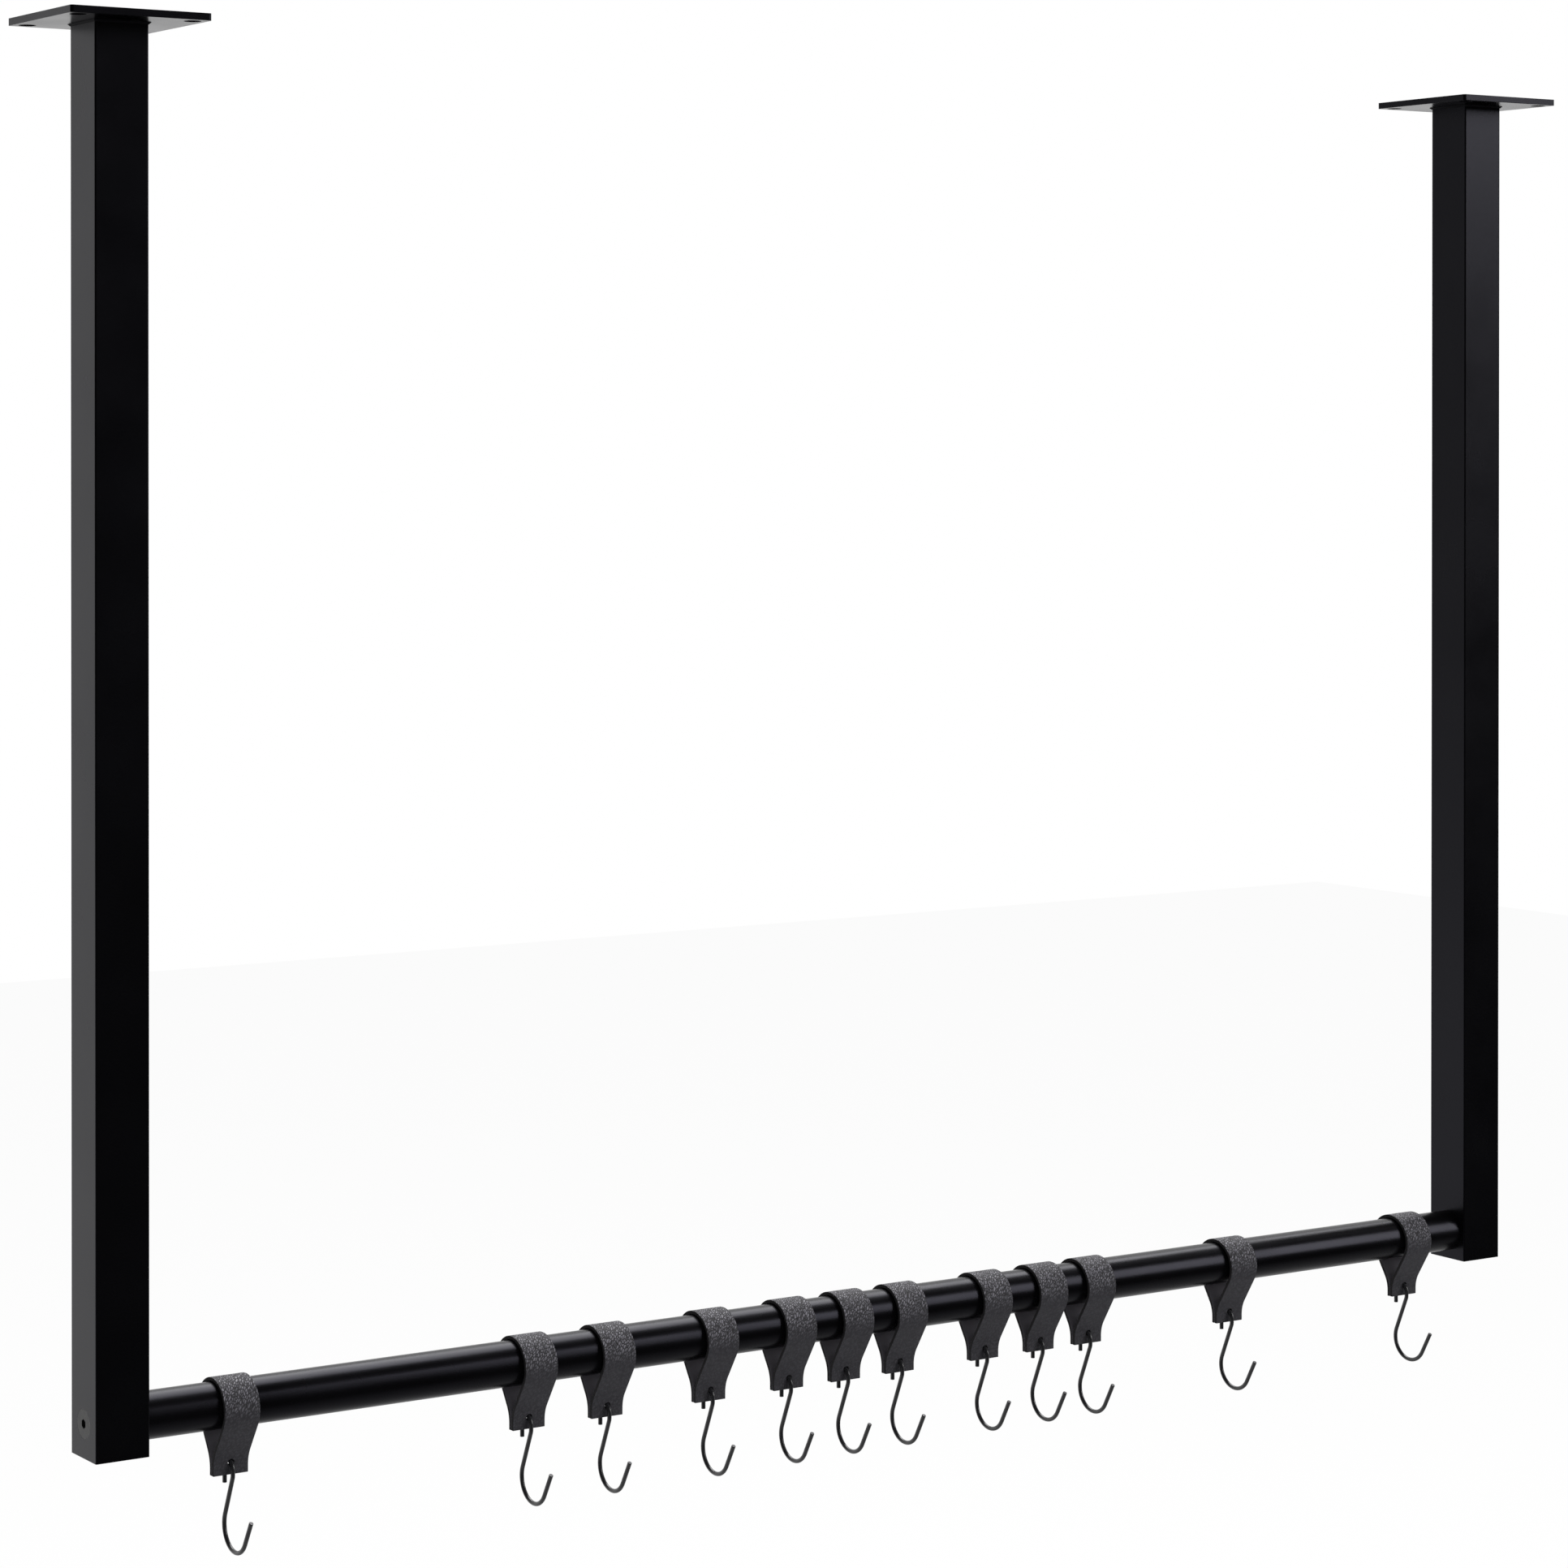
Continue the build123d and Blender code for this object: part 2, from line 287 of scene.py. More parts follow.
def powder_coat(name, colour, shade, smoothest, roughest, ior=COAT_IOR):
    """Satin powder: over CLOUD_SIZE the colour drifts to shade, and smoothest to roughest."""
    coat = blank(name)
    place = add(coat, "ShaderNodeTexCoord").outputs["Object"]
    cloud = add(coat, "ShaderNodeTexNoise", {"Vector": place, "Scale": 1 / CLOUD_SIZE,
                                             "Detail": 3.0})
    peel = add(coat, "ShaderNodeTexNoise", {"Vector": place, "Scale": 1 / PEEL_SIZE,
                                            "Detail": 1.5})
    edge = add(coat, "ShaderNodeBevel", {"Radius": COAT_EDGE_RADIUS}, samples=COAT_EDGE_SAMPLES)
    swell = add(coat, "ShaderNodeBump", {"Strength": 1.0, "Distance": PEEL_DEPTH,
                                         "Height": peel.outputs[0], "Normal": edge.outputs[0]})
    tone = add(coat, "ShaderNodeMix", {0: cloud.outputs[0], MIX_A: linear(colour),
                                       MIX_B: linear(shade)}, data_type="RGBA")
    matt = add(coat, "ShaderNodeMapRange", {
        "Value": cloud.outputs[0], "From Min": CLOUD_LOW, "From Max": CLOUD_HIGH,
        "To Min": smoothest, "To Max": roughest})
    # The specular tint is painted light: a cool cast on the reflections, for a cooler studio
    # light.
    return finish_with(coat, add(coat, "ShaderNodeBsdfPrincipled", {
        "Base Color": tone.outputs[MIX_RESULT], "Roughness": matt.outputs[0], "IOR": ior,
        "Specular Tint": linear(PAINTED_COOL_LIGHT), "Normal": swell.outputs[0]}))


post_coat = powder_coat("satin_black_powder_coat", "#060607", "#080809", 0.22, 0.28)
rail_coat = powder_coat("satin_black_powder_coat_on_tube", "#060607", "#080708", 0.24, 0.30)
weld_coat = powder_coat("dry_black_powder_coat_on_weld", "#060607", "#080809", 0.55, 0.70,
                        CORNER_IOR)
print("coats:", post_coat.name, rail_coat.name, weld_coat.name)

# %% [markdown]
# ## The bolts and inserts
#
# The bolts are blackened in hot salts, which leaves a thin dark oxide over the turned steel, so
# fine rings from the lathe still show round the socket. The inserts inside the rail are turned
# too, but bare. Rings could be cut into the mesh, but they are so fine that a bump is enough.

# %% Turned steel, blackened or bare
LATHE_PITCH = 0.25 * MM
WAVE_LENGTH = math.pi / 10  # one ring of Blender's wave texture at a scale of 1
RING_DEPTH = 0.006 * MM
RING_WOBBLE = 0.3
SMUT_SIZE = 4 * MM  # the patches of soot from the salts, or of oil on the bare steel
SMUT_MATT = 0.06  # how far the patches shift the roughness, either way


def turned_steel(name, colour, roughness, metallic):
    """Steel from a lathe: rings round the rail's axis, LATHE_PITCH apart, in bump only."""
    steel = blank(name)
    low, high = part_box("rail_tube")
    middle = (low + high) / 2
    place = add(steel, "ShaderNodeTexCoord").outputs["Object"]
    centred = add(steel, "ShaderNodeMapping", {"Vector": place,
                                               "Location": (0, -middle.y, -middle.z)})
    rings = add(steel, "ShaderNodeTexWave", {
        "Vector": centred.outputs[0], "Scale": WAVE_LENGTH / LATHE_PITCH,
        "Distortion": RING_WOBBLE}, wave_type="RINGS", rings_direction="X")
    smut = add(steel, "ShaderNodeTexNoise", {"Vector": place, "Scale": 1 / SMUT_SIZE,
                                             "Detail": 4.0})
    grooves = add(steel, "ShaderNodeBump", {"Strength": 1.0, "Distance": RING_DEPTH,
                                            "Height": rings.outputs[1]})
    matt = add(steel, "ShaderNodeMapRange", {
        "Value": smut.outputs[0],
        "To Min": roughness - SMUT_MATT, "To Max": roughness + SMUT_MATT})
    return finish_with(steel, add(steel, "ShaderNodeBsdfPrincipled", {
        "Base Color": linear(colour), "Roughness": matt.outputs[0], "Metallic": metallic,
        "Normal": grooves.outputs[0]}))


bolt_finish = turned_steel("black_oxide_on_turned_steel", "#121214", 0.42, 0.0)
insert_finish = turned_steel("bare_turned_steel", "#c4c3c0", 0.34, 1.0)
print("lathe rings", round(LATHE_PITCH / MM, 2), "mm apart")

# %% [markdown]
# ## The caps
#
# The caps in the posts' feet are moulded polyethylene. Their mould was eaten out by sparks, which
# leaves a fine even grain that hides scratches, so a noise gives both the bump and the tone.

# %% Moulded polyethylene
SPARK_GRAIN = 0.5 * MM  # finer on the real cap, and drawn this coarse so that it shows
SPARK_DEPTH = 0.02 * MM
CAP_ROUGHNESS = 0.55

cap_finish = blank("moulded_black_polyethylene")
cap_place = add(cap_finish, "ShaderNodeTexCoord").outputs["Object"]
cap_grain = add(cap_finish, "ShaderNodeTexNoise", {"Vector": cap_place, "Scale": 1 / SPARK_GRAIN,
                                                   "Detail": 2.0})
cap_bump = add(cap_finish, "ShaderNodeBump", {"Strength": 1.0, "Distance": SPARK_DEPTH,
                                              "Height": cap_grain.outputs[0]})
cap_tone = add(cap_finish, "ShaderNodeMix", {0: cap_grain.outputs[0], MIX_A: linear("#111112"),
                                             MIX_B: linear("#18181a")}, data_type="RGBA")
finish_with(cap_finish, add(cap_finish, "ShaderNodeBsdfPrincipled", {
    "Base Color": cap_tone.outputs[MIX_RESULT], "Roughness": CAP_ROUGHNESS,
    "Normal": cap_bump.outputs[0]}))
print("spark grain", round(SPARK_GRAIN / MM, 2), "mm across")

# %% [markdown]
# ## Dressing the frame's own pieces
#
# The pieces of steel and plastic already have their true shape. Left and right ones share a name
# after the side, so one table of finishes serves both.

# %% Dress the steel and plastic nodes
FINISHES = {
    "ceiling_plate": post_coat,
    "post": post_coat,
    "plate_weld": weld_coat,
    "rail_tube": rail_coat,
    "rail_bolt": bolt_finish,
    "rail_end_insert": insert_finish,
    "post_end_cap": cap_finish,
}
for name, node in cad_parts.items():
    piece = name.removeprefix("left_").removeprefix("right_")
    if piece in FINISHES:
        node.data.materials.clear()
        node.data.materials.append(FINISHES[piece])
        print(name, "gets", FINISHES[piece].name)

# %% [markdown]
# ## A line made of straight and bent runs
#
# Both new pieces are bent from something long: a strap is folded from a band, and a hook is bent
# from wire. So both start from one line in the upright plane across the rail. Each run of the line
# has a length and a turn, and the turn is spread evenly along it, which makes an arc. Modelling
# the line once and hanging a section on it keeps the thickness even, which pushing vertices about
# wouldn't.

# %% The bent line
def bent_line(start, heading, runs, step):
    """Points on a line through (y, z), its headings in radians, and how far along each point is.

    A run of length l that turns by t has the curvature t / l. At the distance d along it the
    heading is h + d t / l, and the point is the run's start plus l / t (sin(h + d t / l) - sin h,
    cos h - cos(h + d t / l)), or plus d (cos h, sin h) where it doesn't turn.
    """
    points, headings, lengths = [np.array([start])], [np.array([heading])], [np.array([0.0])]
    for length, turn in runs:
        here, facing, done = points[-1][-1], headings[-1][-1], lengths[-1][-1]
        count = max(1, math.ceil(length / step))
        along = np.linspace(0, length, count + 1)[1:]
        angle = facing + along * turn / length
        if turn:
            radius = length / turn
            move = radius * np.stack([np.sin(angle) - math.sin(facing),
                                      math.cos(facing) - np.cos(angle)], axis=-1)
        else:
            move = along[:, None] * np.array([math.cos(facing), math.sin(facing)])
        points.append(here + move)
        headings.append(angle)
        lengths.append(done + along)
    return np.concatenate(points), np.concatenate(headings), np.concatenate(lengths)


def mesh_from(name, points, faces, maps):
    """A smooth mesh object from a list of faces on an array of points, with its maps laid on."""
    mesh = bpy.data.meshes.new(name)
    mesh.from_pydata(points.tolist(), [], faces)
    corners = np.zeros(len(mesh.loops), dtype=np.int32)
    mesh.loops.foreach_get("vertex_index", corners)
    for map_name, values in maps.items():
        layer = mesh.uv_layers.new(name=map_name)
        layer.uv.foreach_set("vector", values[corners].astype(np.float32).ravel())
    mesh.polygons.foreach_set("use_smooth", np.ones(len(mesh.polygons), dtype=bool))
    piece = bpy.data.objects.new(name, mesh)
    bpy.context.scene.collection.objects.link(piece)
    return piece


quarter = bent_line((0.0, 0.0), 0.0, [(math.pi / 2, math.pi / 2)], 0.1)[0]
print("a quarter turn of radius 1 ends at", quarter[-1].round(3))

# %% [markdown]
# ## The leather
#
# The straps are cut from drum-dyed charcoal hide. Tanning pulls the skin into small pebbles, and
# the hide's stretch lies on the slant, so the creases between them run as short slanting strokes.
# The pebbles' tops are rubbed a little smoother than the creases, which is why the grain glints
# where light falls along it. Where the band bends over the rail its grain opens up, and where it
# hangs flat it is pressed smoother. Over the rail the colour also carries painted light: painted
# glints on the pebbles' tops and painted shade in the creases, which make the strap's top lighter
# where the overhead light falls. The back of the hide is napped and dull, and the cut edge shows
# packed fibres. One map in millimetres carries the hide's pattern along the flat band, so it bends
# with the fold. A second one says how far a place is from the fold's top, which is the same on
# every strap.

# %% The grain's pattern
PEBBLE = 1.4  # millimetres across a pebble, as far apart as the strokes of the real grain
PEBBLE_STRETCH = 2.3  # how much longer than wide a pebble is
PEBBLE_SLANT = math.radians(35)  # to the right of straight up the strap
STRAY = 0.35  # millimetres by which the creases stray from straight cells
DOME_REACH = 0.32  # from a crease to a pebble's flat top, in pebbles
PORE = 0.3 * PEBBLE

grain_side = blank("charcoal_grained_hide")
flat = add(grain_side, "ShaderNodeUVMap", uv_map="flat").outputs[0]
wander = add(grain_side, "ShaderNodeTexNoise", {"Vector": flat, "Scale": 1 / (2 * PEBBLE)})
wandered = add(grain_side, "ShaderNodeMix", {0: STRAY, MIX_A: flat, MIX_B: wander.outputs[1]},
               data_type="RGBA", blend_type="ADD")
slanted = add(grain_side, "ShaderNodeMapping", {
    "Vector": wandered.outputs[MIX_RESULT], "Rotation": (0, 0, -PEBBLE_SLANT),
    "Scale": (PEBBLE, PEBBLE * PEBBLE_STRETCH, 1)}, vector_type="TEXTURE")
pebbles = add(grain_side, "ShaderNodeTexVoronoi", {"Vector": slanted.outputs[0], "Scale": 1.0},
              feature="DISTANCE_TO_EDGE")
domes = add(grain_side, "ShaderNodeMapRange", {
    "Value": pebbles.outputs["Distance"], "From Min": 0.0, "From Max": DOME_REACH},
    interpolation_type="SMOOTHSTEP")
pores = add(grain_side, "ShaderNodeTexNoise", {"Vector": flat, "Scale": 1 / PORE, "Detail": 2.0})
print("pebbles", PEBBLE, "by", round(PEBBLE * PEBBLE_STRETCH, 1), "mm")

# %% Open grain over the rail, pressed grain below it
GRAIN_DEPTH = 0.3 * MM  # deeper than in the real hide, so that it shows
OPEN_GRAIN, PRESSED_GRAIN = 20.0, 38.0  # millimetres from the fold's top, on either side
PRESSED_SHARE = 0.12  # of the grain, left where the strap hangs flat
PORE_SHARE = 0.25  # of the pebbles' height

from_top = add(grain_side, "ShaderNodeSeparateXYZ", {
    0: add(grain_side, "ShaderNodeUVMap", uv_map="from_top").outputs[0]}).outputs["Y"]
above = add(grain_side, "ShaderNodeMath", {0: from_top}, operation="ABSOLUTE").outputs[0]
# The same share lays the painted glints and painted crease shade on the strap's top.
open_grain_and_painted_top_light = add(grain_side, "ShaderNodeMapRange", {
    "Value": above, "From Min": OPEN_GRAIN, "From Max": PRESSED_GRAIN, "To Min": 1.0,
    "To Max": PRESSED_SHARE}, interpolation_type="SMOOTHSTEP").outputs[0]
open_domes = add(grain_side, "ShaderNodeMath", {0: domes.outputs[0], 1: open_grain_and_painted_top_light},
                 operation="MULTIPLY").outputs[0]
height = add(grain_side, "ShaderNodeMath", {0: pores.outputs[0], 1: PORE_SHARE, 2: open_domes},
             operation="MULTIPLY_ADD")
relief = add(grain_side, "ShaderNodeBump", {"Strength": 1.0, "Distance": GRAIN_DEPTH,
                                            "Height": height.outputs[0]})
print("grain fades out between", OPEN_GRAIN, "and", PRESSED_GRAIN, "mm from the fold's top")

# %% Colour, painted light and gloss of the grain side
HIDE_PATCH = 14.0  # millimetres across the patches where the dye took a little more or less
CREASE_MATT, TOP_MATT = 0.66, 0.40  # roughness in the creases, and on the rubbed tops
HIDE_IOR = 1.4

patches = add(grain_side, "ShaderNodeTexNoise", {"Vector": flat, "Scale": 1 / HIDE_PATCH,
                                                 "Detail": 4.0, "Roughness": 0.6}).outputs[0]
dye = add(grain_side, "ShaderNodeMix", {0: patches, MIX_A: linear("#29282d"),
                                        MIX_B: linear("#302f34")}, data_type="RGBA")
# Painted light: a painted glint on the pebbles' tops and painted shade in the creases.
painted_glint_and_crease_shade = add(grain_side, "ShaderNodeMix", {0: domes.outputs[0], MIX_A: linear("#201f23"),
                                            MIX_B: linear("#706e76")}, data_type="RGBA")
# Over the rail the painted light takes over from the dye; where the strap hangs flat the dye
# shows.
dye_and_painted_light = add(grain_side, "ShaderNodeMix", {0: open_grain_and_painted_top_light, MIX_A: dye.outputs[MIX_RESULT],
                                               MIX_B: painted_glint_and_crease_shade.outputs[MIX_RESULT]},
                 data_type="RGBA")
rubbed = add(grain_side, "ShaderNodeMapRange", {"Value": open_domes, "To Min": CREASE_MATT,
                                                "To Max": TOP_MATT})
finish_with(grain_side, add(grain_side, "ShaderNodeBsdfPrincipled", {
    "Base Color": dye_and_painted_light.outputs[MIX_RESULT], "Roughness": rubbed.outputs[0],
    "IOR": HIDE_IOR, "Normal": relief.outputs[0]}))
print("grain side has", len(grain_side.node_tree.nodes), "nodes")

# %% [markdown]
# ## The hide's back and cut edges
#
# Below the grain a hide is a felt of fibres. Shaved and brushed on its back, it is a soft grey
# nap, and cut through it shows dark packed fibres. Both are noise drawn out along the band, one
# slightly and the other far.

# %% Cut edge and napped back of the hide
FIBRE = 0.35  # millimetres across a bundle of fibres
FIBRE_MATT, FIBRE_IOR = 0.85, 1.35


def fibrous_hide(name, colour, shade, stretch, depth):
    """Loose fibres: noise drawn out by stretch along the band, in tone and in bump."""
    hide = blank(name)
    place = add(hide, "ShaderNodeUVMap", uv_map="flat").outputs[0]
    drawn = add(hide, "ShaderNodeMapping", {"Vector": place,
                                            "Scale": (1 / FIBRE, 1 / (FIBRE * stretch), 1)})
    fibres = add(hide, "ShaderNodeTexNoise", {"Vector": drawn.outputs[0], "Scale": 1.0,
                                              "Detail": 3.0})
    nap = add(hide, "ShaderNodeBump", {"Strength": 1.0, "Distance": depth,
                                       "Height": fibres.outputs[0]})
    tone = add(hide, "ShaderNodeMix", {0: fibres.outputs[0], MIX_A: linear(colour),
                                       MIX_B: linear(shade)}, data_type="RGBA")
    return finish_with(hide, add(hide, "ShaderNodeBsdfPrincipled", {
        "Base Color": tone.outputs[MIX_RESULT], "Roughness": FIBRE_MATT, "IOR": FIBRE_IOR,
        "Normal": nap.outputs[0]}))


napped_back = fibrous_hide("napped_back_of_hide", "#4b494e", "#716e75", 1.5, 0.08 * MM)
cut_edge = fibrous_hide("cut_edge_of_hide", "#161517", "#262527", 4.0, 0.05 * MM)
print("fibres", FIBRE, "mm across")

# %% [markdown]
# ## The leather straps
#
# Each strap is a flat band, laid over the rail and pinched together below it, where one hole is
# punched through both ends. It could be a subdivided box with a cut-out, but a band on a grid
# bends cleanly and keeps its map. So the band's middle surface is a grid: one parameter runs along
# the bent line, the other across the rail. Round each hole the grid's square rings are eased into
# circles. Solidify then gives the band its thickness, and Bevel rounds its cut edges.

# %% The strap's measures
STRAP_THICKNESS = 2.5 * MM
LOOP_RADIUS = 18.8 * MM  # of the inner face, over the rail
FLANK_LEAN = math.radians(32)
LEAF_BEND_RADIUS = 25.5 * MM  # of the inner face
LEAF_GAP = 0.6 * MM
HOLE_RADIUS = 2.4 * MM  # a little less than the punch's, because leather closes in on a hole
HOLE_RISE = 8.78 * MM  # from the leather's ends up to the hole's middle
CELLS_ACROSS = 36
HOLE_CELLS = 4  # cells from the hole's middle to its rim
EASED_CELLS = 9  # cells from the hole's middle to where the grid is square again
BAND_STEP = 0.8 * MM
CUT_ROUNDING = 0.35 * MM
CREASE_RISE = 0.35 * MM  # of the creases that the wire's pull raises on both sides of a hole
CREASE_WIDTH = 0.7 * MM
CREASE_START, CREASE_END = 2.6 * MM, 7.0 * MM  # from the hole's middle, across the strap

strap_low, strap_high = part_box("leather_strap_01")
strap_width = strap_high.x - strap_low.x
middle_radius = LOOP_RADIUS + STRAP_THICKNESS / 2
bend_radius = LEAF_BEND_RADIUS - STRAP_THICKNESS / 2
leaf_y = (LEAF_GAP + STRAP_THICKNESS) / 2
loop_z = strap_high.z - LOOP_RADIUS - STRAP_THICKNESS
flank = ((middle_radius + bend_radius) * math.cos(FLANK_LEAN) - leaf_y - bend_radius) / math.sin(
    FLANK_LEAN)
leaf = (loop_z - (middle_radius + bend_radius) * math.sin(FLANK_LEAN)
        - flank * math.cos(FLANK_LEAN) - strap_low.z)
fold_runs = [
    (leaf, 0),
    (bend_radius * FLANK_LEAN, FLANK_LEAN),
    (flank, 0),
    (middle_radius * (math.pi + 2 * FLANK_LEAN), -math.pi - 2 * FLANK_LEAN),
    (flank, 0),
    (bend_radius * FLANK_LEAN, FLANK_LEAN),
    (leaf, 0),
]
band_length = sum(length for length, turn in fold_runs)
print("strap", round(strap_width / MM, 1), "mm wide, flat length", round(band_length / MM, 1),
      "mm, leaf", round(leaf / MM, 2), "mm")


# %% The band's grid with its two holes
TINY = 1e-9  # keeps the point in a hole's very middle from dividing by zero
HALF_CELL = 0.5  # the points on a hole's rim lie this far outside what is cut away


def band_grid():
    """Each grid point's distances along and across the band, and whether it is in a hole.

    Along the band the lines lie so that a hole's middle is on one. Round a hole, a point that is
    c cells from its middle, counted along the longer way, moves from a circle of radius
    HOLE_RADIUS + (c - HOLE_CELLS) cells, at HOLE_CELLS, to its own square place, at EASED_CELLS.
    """
    rows = round(HOLE_RISE / (strap_width / CELLS_ACROSS))
    near_end = np.linspace(0, 2 * HOLE_RISE, 2 * rows + 1)
    count = math.ceil((band_length - 4 * HOLE_RISE) / BAND_STEP)
    between = np.linspace(2 * HOLE_RISE, band_length - 2 * HOLE_RISE, count + 1)[1:-1]
    along = np.concatenate([near_end, between, band_length - near_end[::-1]])
    across = np.linspace(-strap_width / 2, strap_width / 2, CELLS_ACROSS + 1)
    s, u = np.meshgrid(along, across, indexing="ij")
    inside = np.zeros(s.shape, dtype=bool)
    cell = (HOLE_RISE / rows, strap_width / CELLS_ACROSS)
    for middle in (HOLE_RISE, band_length - HOLE_RISE):
        ds, du = (s - middle) / cell[0], u / cell[1]
        ring = np.maximum(np.abs(ds), np.abs(du))
        reach = np.maximum(np.hypot(s - middle, u), TINY)
        radius = HOLE_RADIUS + (ring - HOLE_CELLS) * cell[1]
        ease = np.clip((ring - HOLE_CELLS) / (EASED_CELLS - HOLE_CELLS), 0, 1)
        inside |= ring < HOLE_CELLS - HALF_CELL
        s, u = (middle + (s - middle) * (ease + (1 - ease) * radius / reach),
                u * (ease + (1 - ease) * radius / reach))
    return s, u, inside


band_s, band_u, in_hole = band_grid()
print("band of", band_s.shape[0], "by", band_s.shape[1], "points")

# %% [markdown]
# ## Laying the band over the rail
#
# The flat grid is laid on the bent line point by point, so no leather is stretched. Beside the
# holes it first rises a little, because the wire pulls short creases into the leather there.
# Sculpting them would work too, but a formula puts the same crease beside every hole.

# %% Fold the band
FOLD_STEP = 0.05 * MM


def crease_height(s, u):
    """How far the leather rises beside the holes.

    Across a crease the height falls as e to the power of minus the square of the distance over
    CREASE_WIDTH, and along it as half a sine wave from CREASE_START to CREASE_END.
    """
    off_line = np.minimum(np.abs(s - HOLE_RISE), np.abs(s - band_length + HOLE_RISE))
    along = np.clip((np.abs(u) - CREASE_START) / (CREASE_END - CREASE_START), 0, 1)
    return CREASE_RISE * np.sin(math.pi * along) * np.exp(-(off_line / CREASE_WIDTH) ** 2)


def on_fold(s, rise):
    """Where the points at distances s lie on the fold, as (y, z), raised outwards by rise.

    The place and the heading h come from a fine bent line, whose outward side is (-sin h, cos h).
    """
    fold_start = (-leaf_y, strap_low.z)
    points, headings, lengths = bent_line(fold_start, math.pi / 2, fold_runs, FOLD_STEP)
    heading = np.interp(s, lengths, headings)
    return (np.interp(s, lengths, points[:, 0]) - rise * np.sin(heading),
            np.interp(s, lengths, points[:, 1]) + rise * np.cos(heading))


band_y, band_z = on_fold(band_s, crease_height(band_s, band_u))
print("the fold reaches from", round(band_z.min() / MM, 1), "to", round(band_z.max() / MM, 1),
      "mm at its middle surface")

# %% [markdown]
# ## Cutting the holes and hanging the straps
#
# The cells inside the holes are left out, and so are the points that nothing uses any more. All
# straps share one band, but each gets its own stretch of hide, so that no two show the same grain.

# %% The band's faces
def grid_faces(rows, columns):
    """Quads of a rows by columns grid of points, counted row by row."""
    first = (np.arange(rows - 1)[:, None] * columns + np.arange(columns - 1)).reshape(-1)
    return np.stack([first, first + 1, first + columns + 1, first + columns], axis=-1)


all_faces = grid_faces(*band_s.shape)
kept_faces = all_faces[~in_hole.reshape(-1)[all_faces].any(axis=1)]
used = np.unique(kept_faces)
new_number = np.full(band_s.size, -1)
new_number[used] = np.arange(len(used))
band_faces = new_number[kept_faces].tolist()
print(len(all_faces) - len(band_faces), "cells are left out for the holes")

# %% Make the straps
HIDE_STEP = 1.37  # band lengths from one strap's stretch of hide to the next one's
CUT_ANGLE = math.radians(50)
CUT_SEGMENTS = 2
RIM_MATERIAL, INNER_MATERIAL = 1, 2  # how many slots after the grain side's, for Solidify


def make_strap(number):
    """One strap in its node's place, with its own stretch of hide under the map."""
    node = f"leather_strap_{number:02d}"
    low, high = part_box(node)
    points = np.stack([(low.x + high.x) / 2 + band_u, band_y, band_z], axis=-1)
    hide = np.stack([band_u, band_s + number * HIDE_STEP * band_length], axis=-1) / MM
    from_middle = np.stack([band_u, band_s - band_length / 2], axis=-1) / MM
    strap = mesh_from(f"strap_{number:02d}", points.reshape(-1, 3)[used], band_faces, {
        "flat": hide.reshape(-1, 2)[used], "from_top": from_middle.reshape(-1, 2)[used]})
    for finish in (grain_side, cut_edge, napped_back):
        strap.data.materials.append(finish)
    thick = strap.modifiers.new("thickness", "SOLIDIFY")
    thick.thickness = STRAP_THICKNESS
    thick.offset = 0.0
    thick.use_even_offset = True
    thick.material_offset = INNER_MATERIAL
    thick.material_offset_rim = RIM_MATERIAL
    rounding = strap.modifiers.new("cut_rounding", "BEVEL")
    rounding.width = CUT_ROUNDING
    rounding.segments = CUT_SEGMENTS
    rounding.limit_method = "ANGLE"
    rounding.angle_limit = CUT_ANGLE
    strap.modifiers.new("even_shading", "WEIGHTED_NORMAL")
    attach(strap, f"strap_{number:02d}")
    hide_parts(node)
    return strap


strap_count = sum(name.startswith("leather_strap_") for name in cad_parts)
straps = [make_strap(number) for number in range(1, strap_count + 1)]
print(len(straps), "straps of", len(band_faces), "faces before their thickness")

# %% [markdown]
# ## The wire
#
# The hooks are bent from drawn steel wire and dipped in black lacquer. Lacquer on wire is glossier
# than the powder coat, so it shows small bright glints, with faint lines along the wire where it
# was pulled through the die. The ends are sheared and only thinly covered, so they look like grey
# steel.

# %% Lacquered wire
DRAWN_LINE = 0.25  # millimetres between the lines that the die leaves
LINE_STRETCH = 60  # how much longer than wide a line is
LINE_DEPTH = 0.004 * MM
GLOSS, DULL = 0.20, 0.32  # the lacquer's roughness, between and in the lines
LACQUER_IOR = 1.6

lacquer = blank("black_lacquer_on_drawn_wire")
wire_map = add(lacquer, "ShaderNodeUVMap", uv_map="wire").outputs[0]
drawn = add(lacquer, "ShaderNodeMapping", {"Vector": wire_map, "Scale": (
    1 / DRAWN_LINE, 1 / (LINE_STRETCH * DRAWN_LINE), 1)})
lines = add(lacquer, "ShaderNodeTexNoise", {"Vector": drawn.outputs[0], "Scale": 1.0,
                                            "Detail": 2.0})
line_bump = add(lacquer, "ShaderNodeBump", {"Strength": 1.0, "Distance": LINE_DEPTH,
                                            "Height": lines.outputs[0]})
line_matt = add(lacquer, "ShaderNodeMapRange", {"Value": lines.outputs[0], "To Min": GLOSS,
                                                "To Max": DULL})
line_tone = add(lacquer, "ShaderNodeMix", {0: lines.outputs[0], MIX_A: linear("#1d1d1f"),
                                           MIX_B: linear("#28282b")}, data_type="RGBA")
finish_with(lacquer, add(lacquer, "ShaderNodeBsdfPrincipled", {
    "Base Color": line_tone.outputs[MIX_RESULT], "Roughness": line_matt.outputs[0],
    "IOR": LACQUER_IOR, "Normal": line_bump.outputs[0]}))
print("drawn lines", DRAWN_LINE, "mm apart")

# %% Sheared ends
TEAR_SIZE = 0.4 * MM
TEAR_DEPTH = 0.05 * MM
BARE_SHARE = 0.7  # of the end, which the lacquer hardly covers
SHEARED_ROUGHNESS = 0.45

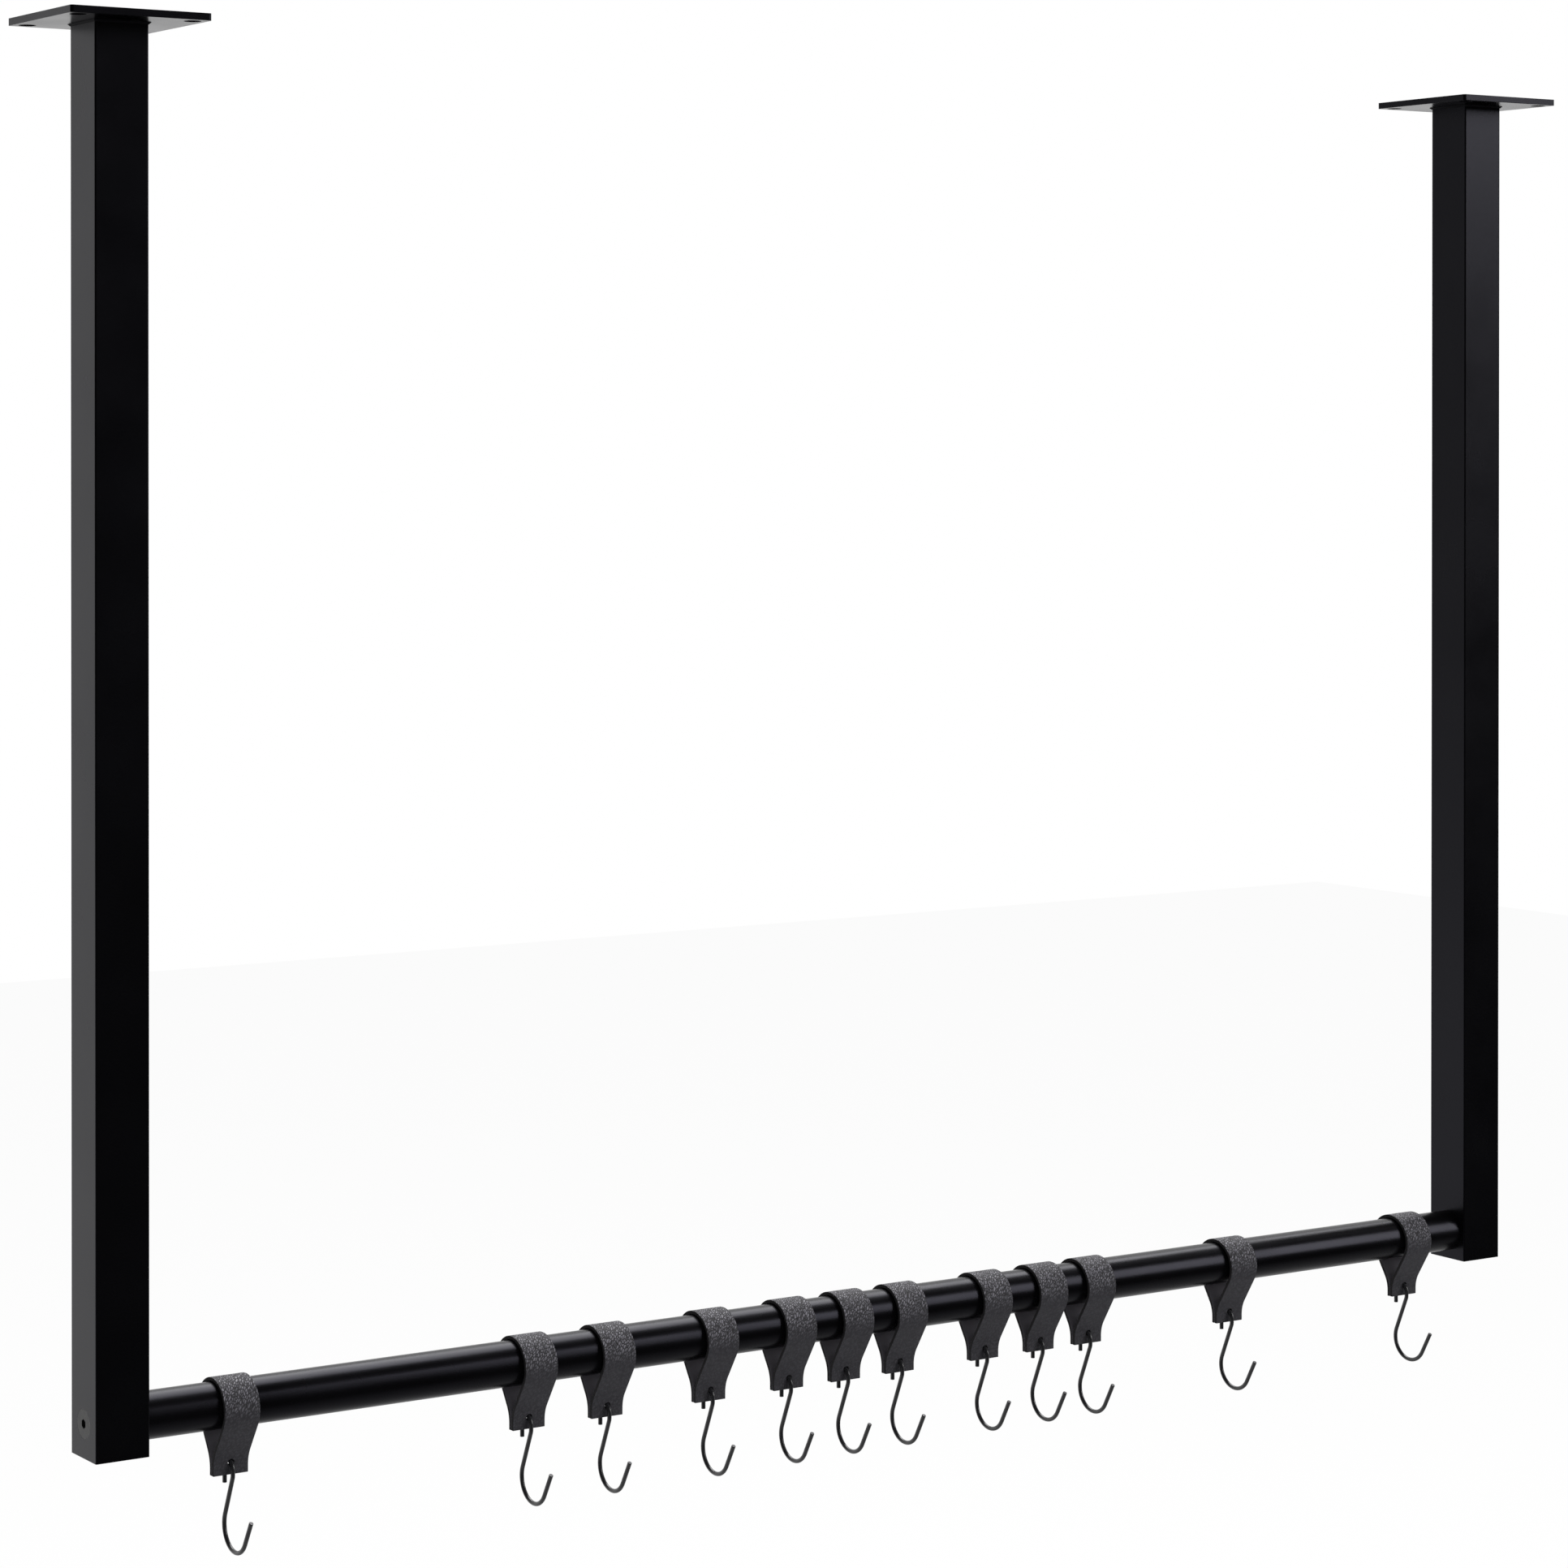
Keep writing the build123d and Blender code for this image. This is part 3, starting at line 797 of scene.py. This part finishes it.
sheared = blank("sheared_wire_end")
sheared_place = add(sheared, "ShaderNodeTexCoord").outputs["Object"]
torn = add(sheared, "ShaderNodeTexNoise", {"Vector": sheared_place, "Scale": 1 / TEAR_SIZE,
                                           "Detail": 3.0})
torn_bump = add(sheared, "ShaderNodeBump", {"Strength": 1.0, "Distance": TEAR_DEPTH,
                                            "Height": torn.outputs[0]})
torn_tone = add(sheared, "ShaderNodeMix", {0: torn.outputs[0], MIX_A: linear("#6f6e70"),
                                           MIX_B: linear("#a6a5a7")}, data_type="RGBA")
finish_with(sheared, add(sheared, "ShaderNodeBsdfPrincipled", {
    "Base Color": torn_tone.outputs[MIX_RESULT], "Roughness": SHEARED_ROUGHNESS,
    "Metallic": BARE_SHARE, "Normal": torn_bump.outputs[0]}))
print("sheared ends torn", round(TEAR_SIZE / MM, 1), "mm apart")

# %% [markdown]
# ## The S-hooks
#
# One piece of wire makes a small loop through the strap, leans back as a shank and swings round in
# a wide bowl. A curve object with a bevel would do, but a grid gives the wire its own map for the
# drawn lines and lets its ends be rounded off by a named radius. So a circle is carried along the
# bent line, and shrinks over the last fraction of a millimetre to a flat end.

# %% The hook's measures
WIRE_RADIUS = 1.6 * MM
LOOP_INSIDE = 4.7 * MM
LOOP_Y = 0.4 * MM  # the small loop's middle, behind the strap's middle
LOOP_ABOVE_BOTTOM = 3.108 * MM  # the small loop's middle above the strap's bottom
STUB_DROP = 7.6 * MM
SHANK_LEAN = math.radians(23)
SHANK_LENGTH = 28.96 * MM  # 0.04 mm less than in the frame, where chords cut across the bowl
BOWL_RADIUS = 16.9 * MM
TIP_LEAN = math.radians(29)
TIP_LENGTH = 19.5 * MM
END_ROUNDING = 0.25 * MM
END_RINGS = (0.0, 0.3, 1.0)  # where the rings of a rounded end lie, in shares of its length
WIRE_STEP = 1.0 * MM
ROUND_POINTS = 24

wire_loop = LOOP_INSIDE + WIRE_RADIUS
bowl_turn = math.pi + SHANK_LEAN - TIP_LEAN
wire_runs = [
    (STUB_DROP + LOOP_ABOVE_BOTTOM, 0),
    (wire_loop * math.pi, math.pi),
    (LOOP_ABOVE_BOTTOM, 0),
    (wire_loop * SHANK_LEAN, SHANK_LEAN),
    (SHANK_LENGTH, 0),
    (BOWL_RADIUS * bowl_turn, -bowl_turn),
    (TIP_LENGTH, 0),
]
print("wire", round(sum(length for length, turn in wire_runs) / MM, 1), "mm long before bending")


# %% The wire's rings
def wire_grid(start):
    """Rings of a round wire along the bent line, with rounded ends, and the map that unrolls it.

    A ring's point at the angle a is the line's point plus r (cos a times the line's left-hand
    normal plus sin a times X). Within END_ROUNDING of an end, r is smaller by the rounding's own
    circle.
    """
    points, headings, lengths = bent_line(start, math.pi / 2, wire_runs, WIRE_STEP)
    total = lengths[-1]
    ends = END_ROUNDING * np.array(END_RINGS)
    stops = np.unique(np.concatenate([lengths[1:-1], ends, total - ends]))
    y, z = np.interp(stops, lengths, points[:, 0]), np.interp(stops, lengths, points[:, 1])
    heading = np.interp(stops, lengths, headings)
    near = np.clip(1 - np.minimum(stops, total - stops) / END_ROUNDING, 0, 1)
    radius = WIRE_RADIUS - END_ROUNDING * (1 - np.sqrt(1 - near**2))
    angle = np.linspace(0, 2 * math.pi, ROUND_POINTS, endpoint=False)
    out, side = radius[:, None] * np.cos(angle), radius[:, None] * np.sin(angle)
    grid = np.stack([side, y[:, None] - out * np.sin(heading)[:, None],
                     z[:, None] + out * np.cos(heading)[:, None]], axis=-1)
    turn = np.broadcast_to(np.abs(angle - math.pi) * WIRE_RADIUS / MM, side.shape)
    length = np.broadcast_to(stops[:, None] / MM, side.shape)
    return grid, np.stack([turn, length], axis=-1)


def ring_faces(rings):
    """Quads between neighbouring rings of ROUND_POINTS points, facing outwards."""
    here = np.arange(ROUND_POINTS)
    after = (here + 1) % ROUND_POINTS
    base = (np.arange(rings - 1) * ROUND_POINTS)[:, None]
    quads = np.stack([base + here, base + ROUND_POINTS + here, base + ROUND_POINTS + after,
                      base + after], axis=-1)
    return quads.reshape(-1, 4)


wire_points, wire_maps = wire_grid((LOOP_Y + wire_loop, strap_low.z - STUB_DROP))
side_faces = ring_faces(len(wire_points)).tolist()
last_ring = (len(wire_points) - 1) * ROUND_POINTS
end_faces = [list(range(ROUND_POINTS)),
             list(range(last_ring + ROUND_POINTS - 1, last_ring - 1, -1))]
print(len(wire_points), "rings of", ROUND_POINTS, "points")


# %% Make the hooks
def make_hook(number):
    """One hook in its node's place: the wire's side as quads and each end as one flat face."""
    node = f"s_hook_{number:02d}"
    low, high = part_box(node)
    points = wire_points + np.array([(low.x + high.x) / 2, 0, 0])
    hook = mesh_from(f"hook_{number:02d}", points.reshape(-1, 3), side_faces + end_faces, {
        "wire": wire_maps.reshape(-1, 2)})
    for finish in (lacquer, sheared):
        hook.data.materials.append(finish)
    is_end = np.arange(len(hook.data.polygons)) >= len(side_faces)
    hook.data.polygons.foreach_set("use_smooth", ~is_end)
    hook.data.polygons.foreach_set("material_index", is_end.astype(np.int32))
    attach(hook, f"hook_{number:02d}")
    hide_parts(node)
    return hook


hooks = [make_hook(number) for number in range(1, strap_count + 1)]
print(len(hooks), "hooks of", len(side_faces), "faces")
